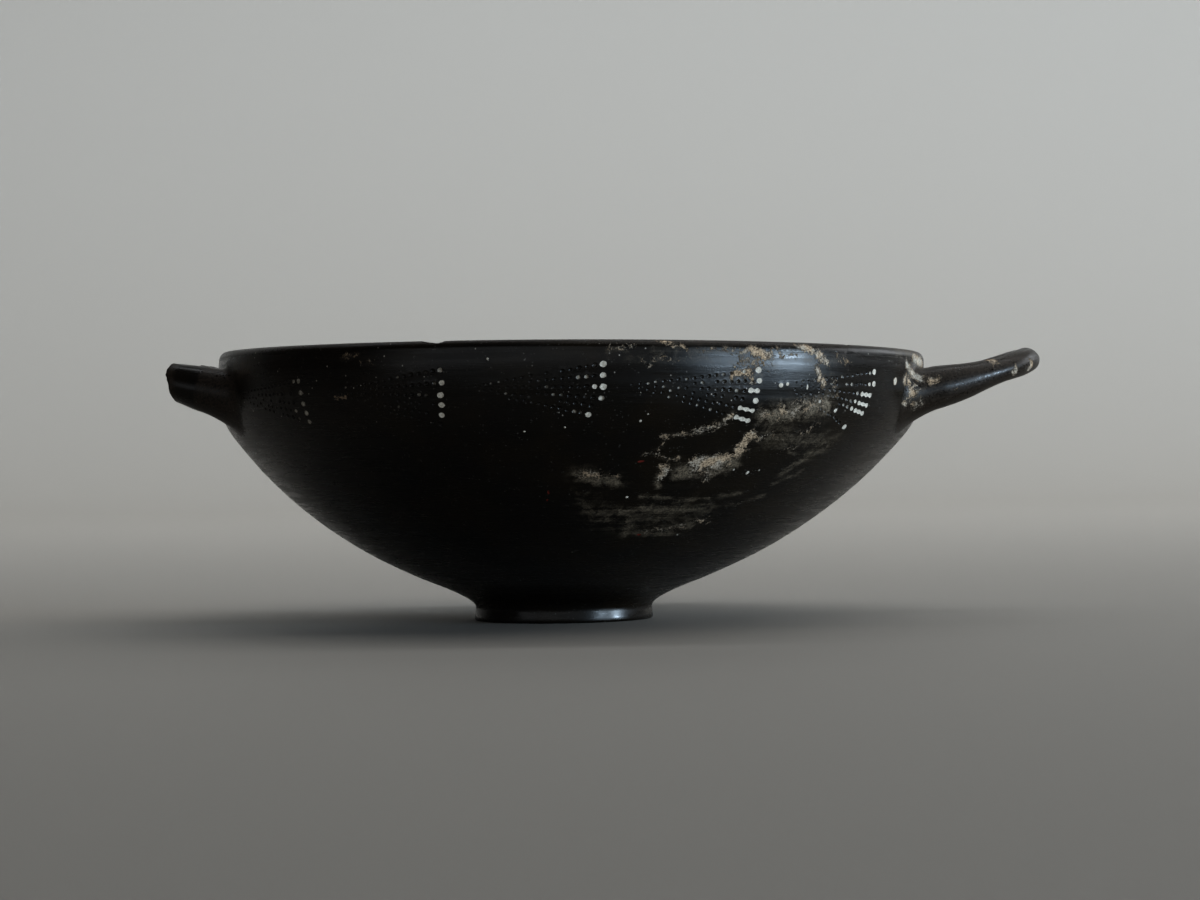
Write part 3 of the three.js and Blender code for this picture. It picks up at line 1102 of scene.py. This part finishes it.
# Bands of each mark on the outer wall: the strength, the half width in mm, and a line of (angle, height).
BANDS = {}
BANDS["crust"] = [
    (0.45, 0.8, [(5.7, 51.5), (8.6, 51.7)]),
    (0.7, 0.5, [(12.8, 52.6), (14.9, 52.5)]),
    (0.55, 0.8, [(14.9, 51.8), (16.7, 51.3)]),
    (0.45, 0.6, [(18.9, 51.2), (21, 51.2)]),
    (0.4, 0.6, [(22.4, 51.3), (23.9, 51.3)]),
    (0.6, 0.9, [(24.5, 50.8), (26.7, 50.3)]),
    (0.95, 1, [(27.6, 50.9), (28.8, 50.4)]),
    (0.75, 1.3, [(28.6, 50.2), (30.6, 50)]),
    (0.5, 0.7, [(32, 50.9), (32.5, 50.2)]),
    (0.35, 0.8, [(33.1, 50.6), (35.7, 50.2)]),
    (1, 0.9, [(36.1, 51.6), (38.2, 51.2), (40.2, 50.1), (41.6, 48.7)]),
    (0.9, 0.8, [(39.8, 47.3), (40.3, 46.3), (41.2, 45)]),
    (0.65, 0.6, [(24.8, 48.4), (24.8, 46.6), (24.2, 46)]),
    (0.8, 0.7, [(25.2, 46.7), (27.3, 47), (27.6, 45.2)]),
    (0.45, 1.6, [(26.5, 49.2), (29.5, 48.6)]),
    (0.5, 0.35, [(10, 49.5), (11.3, 47.9)]),
    (0.5, 0.35, [(11.3, 47.9), (11.6, 49.1), (13.3, 49.8)]),
    (0.3, 0.5, [(13.5, 49.2), (15.5, 49)]),
    (0.35, 1, [(43.5, 49.5), (47, 49)]),
    (0.4, 0.9, [(43, 46), (44.5, 43)]),
    (0.5, 1.2, [(30.3, 39.3), (31.5, 39.4)]),
    (0.5, 1.8, [(32.9, 39.5), (35.6, 39.8), (39.1, 40.5)]),
    (0.4, 1.5, [(39.1, 40.5), (42.8, 41.2)]),
    (0.4, 0.8, [(36, 36), (40.1, 36), (42, 37.5)]),
    (0.62, 0.9, [(25, 39.2), (23.8, 37.8), (21.5, 36.8)]),
    (0.55, 1, [(21.5, 36.8), (19.1, 36.3)]),
    (0.5, 0.7, [(19.1, 36.3), (16.8, 35.9), (14.6, 35.6)]),
    (1, 1.5, [(29.6, 35.6), (29.2, 34.2), (28.6, 32.8)]),
    (0.7, 1, [(28.3, 32.3), (25.9, 31.5)]),
    (1, 1.5, [(26.2, 31.2), (24, 31.2), (21.4, 31)]),
    (0.6, 0.8, [(24.1, 30.4), (25, 29), (25.2, 27.8)]),
    (0.75, 1.7, [(27.8, 31), (21.8, 29.8)]),
    (0.5, 0.5, [(12.4, 32.6), (14.3, 32.9), (15, 34.4)]),
    (0.5, 0.6, [(14.3, 32.6), (16.4, 31.6), (18.6, 31.8)]),
    (0.75, 1, [(15.6, 30.4), (17.2, 29.6), (16.2, 28.2)]),
    (0.55, 0.9, [(33.4, 35.7), (31, 35.2)]),
    (0.35, 0.7, [(37, 32.9), (41.2, 33)]),
    (0.5, 0.5, [(36, 23.3), (37.2, 23.6)]),
    (0.4, 1.4, [(19, 18.2), (22.5, 18.8), (27.5, 19.6)]),
    (0.45, 1.1, [(28.8, 20.4), (31.6, 20.2)]),
    (0.5, 1.3, [(2.4, 29.5), (5, 28.9)]),
    (0.3, 0.6, [(5.5, 28.9), (9, 28.6)]),
    (0.35, 0.6, [(-38, 43.8), (-36, 43.8)]),
    (0.35, 0.5, [(-36.5, 51.3), (-34, 51.5)]),
    (0.3, 0.5, [(-33, 50.2), (-31, 50)]),
    (1, 1.5, [(70, 50.2), (78, 49)]),
    (1, 0.8, [(65.5, 48.9), (67.4, 47.4), (68.6, 46)]),
    (1, 0.9, [(64.6, 45.9), (66.4, 45.5)]),
    (0.9, 0.8, [(67.4, 44.6), (66.6, 43.4), (66, 41.3)]),
    (0.55, 0.8, [(68.4, 42.5), (67.8, 40.7)]),
]
BANDS["haze"] = [
    (0.5, 2.2, [(62, 51), (72, 50)]),
    (0.35, 2, [(-66, 50), (-61, 50)]),
    (0.4, 2.5, [(24, 47.5), (31, 48.5)]),
    (1, 2.3, [(31, 39), (35.6, 39.6), (42.8, 41)]),
    (0.9, 2.2, [(20, 29.6), (28.5, 31.2)]),
    (0.9, 0.9, [(15.8, 28.8), (16.6, 26.4)]),
    (0.9, 1.6, [(19, 28.6), (25.5, 28.9), (29.5, 30.2)]),
    (0.75, 0.6, [(13.6, 24.9), (16.3, 25), (20, 24.6)]),
    (0.65, 0.7, [(20, 23.6), (26, 24.3), (34.8, 25.2)]),
    (0.6, 0.8, [(30, 22.6), (36, 23.2), (41, 24.6)]),
    (0.7, 1.8, [(10, 22.2), (14.3, 22.8), (18.7, 22.2), (27.4, 22.6)]),
    (0.6, 1.5, [(12.4, 22.4), (13, 19.8), (13.4, 17.9)]),
    (0.55, 2.8, [(4.5, 22.6), (9, 20.6), (16.6, 18.8), (22.3, 18.2), (28, 19.2)]),
    (0.4, 2.4, [(2, 26), (4, 23)]),
    (0.42, 4.4, [(6, 22), (16, 21), (28, 22)]),
    (0.75, 1.2, [(41.6, 29), (44.2, 31.1), (48, 33.4)]),
    (0.8, 0.6, [(39.5, 32.6), (42.5, 31.6), (45, 32.5)]),
    (0.6, 0.8, [(41, 26.5), (43.5, 27.7), (46, 29)]),
    (0.8, 1.9, [(1.9, 29), (8.5, 27.6)]),
    (0.55, 2.6, [(33, 35.5), (48, 34)]),
    (0.3, 1.5, [(5, 50.5), (45, 49.5)]),
]
BANDS["white"] = [
    (0.5, 1, [(65.6, 49), (67.4, 47.4), (68.5, 46)]),
    (0.4, 1.4, [(70.2, 49.8), (78, 49.2)]),
]
BANDS["worn"] = [
    (0.6, 2.5, [(-68, 50), (-58, 50)]),
]

# Crust on the whole handle's near arm: a place in the cup's own frame, a radius, and a strength.
CLUMPS = [
    (80.9, -19.5, 50.9, 1.3, 1.0),
    (68.9, -26.2, 46.8, 1.1, 1.0),
    (85.6, -18.2, 48.9, 1.0, 1.0),
    (89.2, -14.2, 49.8, 1.3, 1.0),
    (74.0, -26.0, 45.4, 0.8, 0.8),
]

LIP_WEAR = 0.8

# How far out from the wall a band still marks a handle's root, in mm.
BANDS_REACH = 2.6


def band_strength(angle, along, line_points, width):
    """1 on the band's line, fading over its half width. angle is in degrees."""
    across = across_at(1)
    strength = np.zeros(len(angle))
    corners = [(a * across, along_at(a, h)) for a, h in line_points]
    place = np.stack([angle * across, along], axis=1)
    for start, end in zip(corners, corners[1:]):
        start, step = np.array(start), np.array(end) - np.array(start)
        share = np.clip(((place - start) @ step) / (step @ step), 0, 1)
        distance = np.linalg.norm(place - start - share[:, None] * step, axis=1)
        strength = np.maximum(strength, np.exp(-((distance / width) ** 2)))
    return strength


def raise_mark(marks, name, strength):
    column = MARKS.index(name)
    marks[:, column] = np.maximum(marks[:, column], strength)


def add_bands(places, marks):
    """Adds the wide deposits and the worn lip to the marks of the outer wall's points."""
    angle = (np.degrees(places[:, 0]) + 180) % 360 - 180
    along = places[:, 1]
    for name, bands in BANDS.items():
        for strength, width, points in bands:
            raise_mark(marks, name, strength * band_strength(angle, along, points, width))
    raise_mark(marks, "worn", LIP_WEAR * np.exp(-((along - TOP) ** 2)))


def add_clumps(points, marks):
    for x, y, z, radius, strength in CLUMPS:
        distance = np.linalg.norm(points - np.array((x, y, z)), axis=1)
        raise_mark(marks, "crust", strength * np.exp(-((distance / radius) ** 2)))


# ---------------------------------------------------------------- from places to positions


def unevenness(places):
    """How far the wall is inside its true outline, in mm. Low on the belly it can be outside."""
    strays = np.zeros(len(places))
    for i, (angle, along, _, _) in enumerate(places):
        around = Vector((math.sin(angle) * 1.3, math.cos(angle) * 1.3, along * 0.05))
        broad = noise.noise(around) * 0.5 + 0.5
        turned = noise.noise(Vector((math.sin(angle) * 0.3, math.cos(angle) * 0.3, along * 0.34)))
        ripple = noise.noise(Vector((math.sin(angle) * 5, math.cos(angle) * 5, along * 0.22)))
        strays[i] = SWELL * broad + TURNING * (turned + 1) / 2 + RIPPLE * (ripple + 1) / 2
    along = places[:, 1]
    off_foot = np.clip((along - BELLY_START - 2) / 8, 0, 1)
    off_lip = np.clip(np.abs(along - TOP) / 3, 0, 1)
    from_barrel = (along - along_outside(BARREL_HEIGHT)) / BARREL_WIDTH
    barrel = BARREL_DEPTH * (1 - np.exp(-(from_barrel**2))) * (along < TOP)
    barrel = barrel * np.clip((along - along_outside(BARREL_FOOT)) / 8, 0, 1)
    from_fullest = (along - along_outside(FULLEST_HEIGHT)) / FULLNESS_SPAN
    fullness = FULLNESS * np.exp(-(from_fullest**4)) * (along < TOP)
    return (strays * (0.25 + 0.75 * off_lip) + barrel * off_lip - fullness) * off_foot


def warp(points):
    """Leans the rim, shifts it towards the whole handle, and waves it, as the kiln left it."""
    x, y, z = points.T
    share = z / RIM_HEIGHT
    x = x + RIM_OFFSET * share
    angle = np.arctan2(x, -y) - math.radians(RIM_WAVE_ANGLE)
    outwards = np.minimum(1, (x * x + y * y) / RIM_RADIUS**2)
    wave = RIM_WAVE * outwards * np.cos(2 * angle)
    return np.stack([x, y, z + share * (wave - RIM_SLOPE * x)], axis=1)


def positions_and_streaks():
    places = np.array(clay.places)
    angle, along, lift, drop = places.T
    radius, height, out, rise = section_at(along)
    line_from = (along - along_outside(LIP_LINE_HEIGHT)) / LIP_LINE_WIDTH
    lift = lift - unevenness(places) - LIP_LINE_DEPTH * np.exp(-(line_from**2))
    radius = radius + out * lift
    height = height + rise * lift - drop
    points = np.stack([radius * np.sin(angle), -radius * np.cos(angle), height], axis=1)
    around = STREAK_STRETCH * RIM_RADIUS
    streaks = np.stack([around * np.sin(angle), around * np.cos(angle), along], axis=1)
    for vertex, (position, wheel) in clay.free.items():
        points[vertex] = position
        streaks[vertex] = wheel
        places[vertex, 0] = math.atan2(position.x, -position.y)
        places[vertex, 1] = along_outside(position.z)
    marks = np.array(clay.marks)
    near_wall = np.hypot(points[:, 0], points[:, 1]) < RIM_RADIUS + BANDS_REACH
    wall = marks[near_wall]
    add_bands(places[near_wall], wall)
    marks[near_wall] = wall
    add_clumps(points, marks)
    return warp(points), streaks, marks


def build_cup():
    build_surface()
    points, streaks, marks = positions_and_streaks()
    mesh = bpy.data.meshes.new("cup")
    points = points * UNIT + np.array([AXIS_X, 0, 0])
    mesh.from_pydata(points.tolist(), [], clay.faces)
    mesh.shade_smooth()
    for name, values in (("streaks", streaks), ("deposits", marks[:, :3]), ("wear", marks[:, 3:])):
        attribute = mesh.attributes.new(name, "FLOAT_VECTOR", "POINT")
        attribute.data.foreach_set("vector", values.astype(np.float32).ravel())
    mesh.validate()
    return add_object("cup", mesh)


# ---------------------------------------------------------------- materials


class Shader:
    """A material's node tree, with a short way to add a node and give it its inputs."""

    def __init__(self, name):
        self.material = bpy.data.materials.new(name)
        self.material.use_nodes = True
        self.tree = self.material.node_tree
        self.tree.nodes.clear()

    def add(self, kind, inputs=(), output=0, **settings):
        """inputs pairs an input's name or number with a value or another node's output."""
        node = self.tree.nodes.new(kind)
        for name, value in settings.items():
            setattr(node, name, value)
        for key, value in dict(inputs).items():
            if isinstance(value, bpy.types.NodeSocket):
                self.tree.links.new(value, node.inputs[key])
            else:
                node.inputs[key].default_value = value
        return node.outputs[output]

    def math(self, operation, a, b):
        return self.add("ShaderNodeMath", {0: a, 1: b}, operation=operation)

    def times(self, a, b):
        return self.math("MULTIPLY", a, b)

    def plus(self, a, b):
        return self.math("ADD", a, b)

    def most(self, a, b):
        return self.math("MAXIMUM", a, b)

    def ramp(self, value, low, high, to_low=0.0, to_high=1.0):
        """A smooth step of value, from to_low at low to to_high at high."""
        inputs = {"Value": value, "From Min": low, "From Max": high, "To Min": to_low, "To Max": to_high}
        return self.add("ShaderNodeMapRange", inputs, interpolation_type="SMOOTHSTEP")

    def mix(self, share, a, b):
        """Mixes two colours."""
        return self.add("ShaderNodeMix", {0: share, 6: a, 7: b}, output=2, data_type="RGBA")

    def blend(self, share, a, b):
        """Mixes two numbers."""
        return self.add("ShaderNodeMix", {0: share, 2: a, 3: b}, output=0, data_type="FLOAT")

    def noise(self, place, scale, detail, roughness, distortion=0.0):
        inputs = {"Scale": scale, "Detail": detail, "Roughness": roughness, "Distortion": distortion}
        return self.add("ShaderNodeTexNoise", {"Vector": place, **inputs})

    def cells(self, place, scale, output=0):
        """Output 0 is the distance from a cell's middle, and output 1 is its random colour."""
        inputs = {"Vector": place, "Scale": scale, "Randomness": 1.0}
        return self.add("ShaderNodeTexVoronoi", inputs, output=output)

    def parts(self, name):
        """A point attribute, and its three numbers."""
        vector = self.add("ShaderNodeAttribute", output=1, attribute_name=name)
        node = self.tree.nodes.new("ShaderNodeSeparateXYZ")
        self.tree.links.new(vector, node.inputs[0])
        return vector, node.outputs[0], node.outputs[1], node.outputs[2]

    def finished(self, surface):
        output = self.tree.nodes.new("ShaderNodeOutputMaterial")
        self.tree.links.new(surface, output.inputs["Surface"])
        return self.material


def grey(value, warmth):
    return (value * (1 + warmth), value, value * (1 - warmth), 1)


BLACK, SMOKED, RUBBED = grey(0.003, 0.3), grey(0.005, 0.5), grey(0.014, 0.25)
WORN = (0.045, 0.032, 0.023, 1)
BROKEN = (0.018, 0.014, 0.011, 1)
DUST = (0.1, 0.095, 0.085, 1)
HAZE = (0.225, 0.182, 0.13, 1)
TANS = ((0.46, 0.4, 0.325, 1), (0.5, 0.375, 0.255, 1))
DARK_TANS = ((0.066, 0.048, 0.031, 1), (0.14, 0.102, 0.066, 1))
WHITES = ((0.38, 0.34, 0.28, 1), (0.58, 0.54, 0.465, 1))
BITS = (0.34, 0.31, 0.27, 1)
RED = (0.12, 0.018, 0.012, 1)


def clay_textures(s):
    """Noise over the clay, in millimetres, and along the streaks of the burnishing."""
    place = s.add("ShaderNodeTexCoord", output=3)
    place = s.add("ShaderNodeVectorMath", {0: place, 3: 1000.0}, operation="SCALE")
    streaks, _, _, along = s.parts("streaks")
    return SimpleNamespace(
        along=along,
        fine=s.noise(place, 2.6, 5.0, 0.65),
        grain=s.noise(place, 2.9, 3.0, 0.7, 0.4),
        lumps=s.noise(place, 0.7, 4.0, 0.62, 0.7),
        cloud=s.noise(place, 0.42, 7.0, 0.72, 0.6),
        tint=s.noise(place, 0.35, 2.0, 0.5),
        blotch=s.noise(place, 0.11, 3.0, 0.5),
        streak=s.noise(streaks, 0.9, 4.0, 0.6),
        scratch=s.noise(streaks, 4.5, 3.0, 0.6),
        specks=s.cells(place, 1.5),
        bits=s.cells(place, 1.1),
        picked=s.cells(place, 1.1, output=1),
    )


def marks_shown(s, t):
    """How much of each mark shows, with its edges broken up by the textures."""
    _, crust, haze, white = s.parts("deposits")
    _, worn, broken, red = s.parts("wear")
    cover = s.blend(0.45, t.lumps, t.grain)
    sparse = s.times(s.math("SUBTRACT", 1.0, crust), 0.21)
    above = s.math("SUBTRACT", cover, s.plus(sparse, 0.4))
    film = s.most(haze, s.times(crust, 0.7))
    cloud = s.plus(s.blend(0.35, t.cloud, t.streak), s.times(film, 0.14))
    haze = s.times(film, s.ramp(cloud, 0.49, 0.68))
    bits = s.times(s.ramp(t.bits, 0.1, 0.2, 1.0, 0.0), s.ramp(t.picked, 0.72, 0.9))
    bits = s.times(bits, s.ramp(t.along, along_outside(36), along_outside(42)))
    return SimpleNamespace(
        crust=s.times(s.ramp(above, -0.02, 0.035), s.ramp(crust, 0.03, 0.16)),
        thick_crust=s.ramp(crust, 0.1, 0.85, 0.25, 1.0),
        haze=s.times(haze, s.ramp(t.grain, 0.36, 0.64, 0.2, 1.0)),
        dust=s.times(s.ramp(t.specks, 0.1, 0.26, 1.0, 0.0), s.ramp(t.lumps, 0.5, 0.64)),
        white=s.ramp(s.plus(white, s.times(t.fine, 0.25)), 0.3, 0.75),
        bits=s.times(bits, s.ramp(t.along, TOP - 1.5, TOP, 1.0, 0.0)),
        red=s.ramp(red, 0.2, 0.7),
        worn=s.times(worn, s.ramp(t.fine, 0.35, 0.65)),
        broken=s.ramp(broken, 0.3, 0.8),
    )


def clay_colour(s, t, shown):
    """The body's colour, and over it each mark's, in the order that they lie."""
    body = s.mix(s.ramp(t.blotch, 0.35, 0.7), BLACK, SMOKED)
    body = s.mix(s.times(s.ramp(t.fine, 0.55, 0.8), 0.3), body, RUBBED)
    tan = s.mix(s.ramp(t.tint, 0.42, 0.6), *TANS)
    dark_tan = s.mix(s.ramp(t.fine, 0.3, 0.6), *DARK_TANS)
    tan = s.mix(s.times(s.ramp(t.fine, 0.36, 0.6), shown.thick_crust), dark_tan, tan)
    layers = [
        (shown.worn, WORN),
        (s.times(shown.dust, 0.6), DUST),
        (shown.haze, HAZE),
        (shown.crust, tan),
        (shown.broken, BROKEN),
        (shown.red, RED),
        (shown.white, s.mix(s.ramp(t.fine, 0.38, 0.6), *WHITES)),
        (shown.bits, BITS),
    ]
    for share, colour in layers:
        body = s.mix(share, body, colour)
    return body


def clay_relief(s, t, shown):
    """A bump of streaks, scratches, grain, crust and rough breaks, each with its height in mm."""
    rough = s.times(shown.broken, t.fine)
    relief = s.times(t.streak, 0.02)
    for shape, height in ((t.scratch, 0.006), (t.fine, 0.008), (shown.crust, 0.07), (rough, 0.3)):
        relief = s.plus(relief, s.times(shape, height))
    return s.add("ShaderNodeBump", {"Strength": 1.0, "Distance": UNIT, "Height": relief})


def clay_material():
    s = Shader("black_clay")
    t = clay_textures(s)
    shown = marks_shown(s, t)
    matt = s.most(shown.crust, s.most(shown.white, shown.broken))
    matt = s.most(matt, s.times(shown.haze, 0.6))
    polish = s.plus(s.ramp(t.streak, 0.3, 0.7, 0.22, 0.34), s.times(shown.worn, 0.38))
    inputs = {
        "Base Color": clay_colour(s, t, shown),
        "Roughness": s.blend(matt, polish, 0.9),
        "Specular IOR Level": s.blend(matt, 0.25, 0.2),
        "Normal": clay_relief(s, t, shown),
    }
    return s.finished(s.add("ShaderNodeBsdfPrincipled", inputs))


def plain_material(name, colour, roughness):
    s = Shader(name)
    surface = s.add("ShaderNodeBsdfPrincipled", {"Base Color": colour, "Roughness": roughness})
    return s.finished(surface)


# ---------------------------------------------------------------- floor and light, in metres

FLOOR_COLOUR = (0.315, 0.3, 0.275, 1)
WINDOW_BLUE = (0.66, 0.83, 1.0)

# Each light's name, azimuth and elevation, distance, size, power and colour.
LIGHTS = [
    ("window_near", 49, 2.5, 3.2, (0.68, 0.36), 33, WINDOW_BLUE),
    ("window_far", 71.5, 2.5, 3.2, (0.4, 0.36), 62, WINDOW_BLUE),
    ("ceiling", 75, 64, 1.9, (2.2, 1.8), 10, (1.0, 0.98, 0.95)),
    ("room", -16, 10, 2.0, (3.8, 0.7), 6.5, (0.92, 0.96, 1.0)),
    ("side", 112, 19, 1.8, (1.4, 0.7), 8, (0.93, 0.96, 1.0)),
]


def add_floor():
    """A plain pale floor that curves up far behind the cup."""
    half, back, bend, top = 3.0, 1.6, 0.5, 2.2
    outline_points = [(-2.0, 0.0), (back - bend, 0.0)]
    for k in range(1, 13):
        turn = math.radians(90 * k / 12)
        outline_points.append((back - bend + bend * math.sin(turn), bend - bend * math.cos(turn)))
    outline_points.append((back, top))
    verts = [(x, y, z) for y, z in outline_points for x in (-half, half)]
    faces = [(2 * k, 2 * k + 1, 2 * k + 3, 2 * k + 2) for k in range(len(outline_points) - 1)]
    mesh = bpy.data.meshes.new("floor")
    mesh.from_pydata(verts, [], faces)
    mesh.shade_smooth()
    mesh.materials.append(plain_material("floor", FLOOR_COLOUR, 0.7))
    return add_object("floor", mesh)


def add_light(name, azimuth, elevation, distance, size, power, colour):
    """A soft rectangular light that faces the cup. azimuth is from -Y towards +X, in degrees."""
    data = bpy.data.lights.new(name, "AREA")
    data.shape = "RECTANGLE"
    data.size, data.size_y = size
    data.energy = power
    data.color = colour
    light = add_object(name, data)
    turn = Euler((math.radians(90 - elevation), 0, math.radians(azimuth)))
    light.rotation_euler = turn
    light.location = Vector((AXIS_X, 0, 0.04)) + turn.to_matrix() @ Vector((0, 0, distance))
    return light


def add_lights():
    for light in LIGHTS:
        add_light(*light)
    wash = add_light("backdrop_wash", 180, 50, 0.9, (2.6, 0.5), 27, (0.94, 0.97, 1.0))
    wash.location = (0, 0.5, 1.5)
    wash.rotation_euler = Euler((math.radians(60), 0, 0))
    world = bpy.data.worlds.new("room")
    world.use_nodes = True
    background = world.node_tree.nodes["Background"]
    background.inputs["Color"].default_value = (0.5, 0.48, 0.46, 1)
    background.inputs["Strength"].default_value = 0.08
    bpy.context.scene.world = world


# ---------------------------------------------------------------- the scene

cup = build_cup()
cup.data.materials.append(clay_material())
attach(cup, "root")
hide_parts("kylix")
add_floor()
add_lights()
bpy.context.scene.view_settings.view_transform = "Standard"
bpy.context.scene.view_settings.look = "Medium High Contrast"
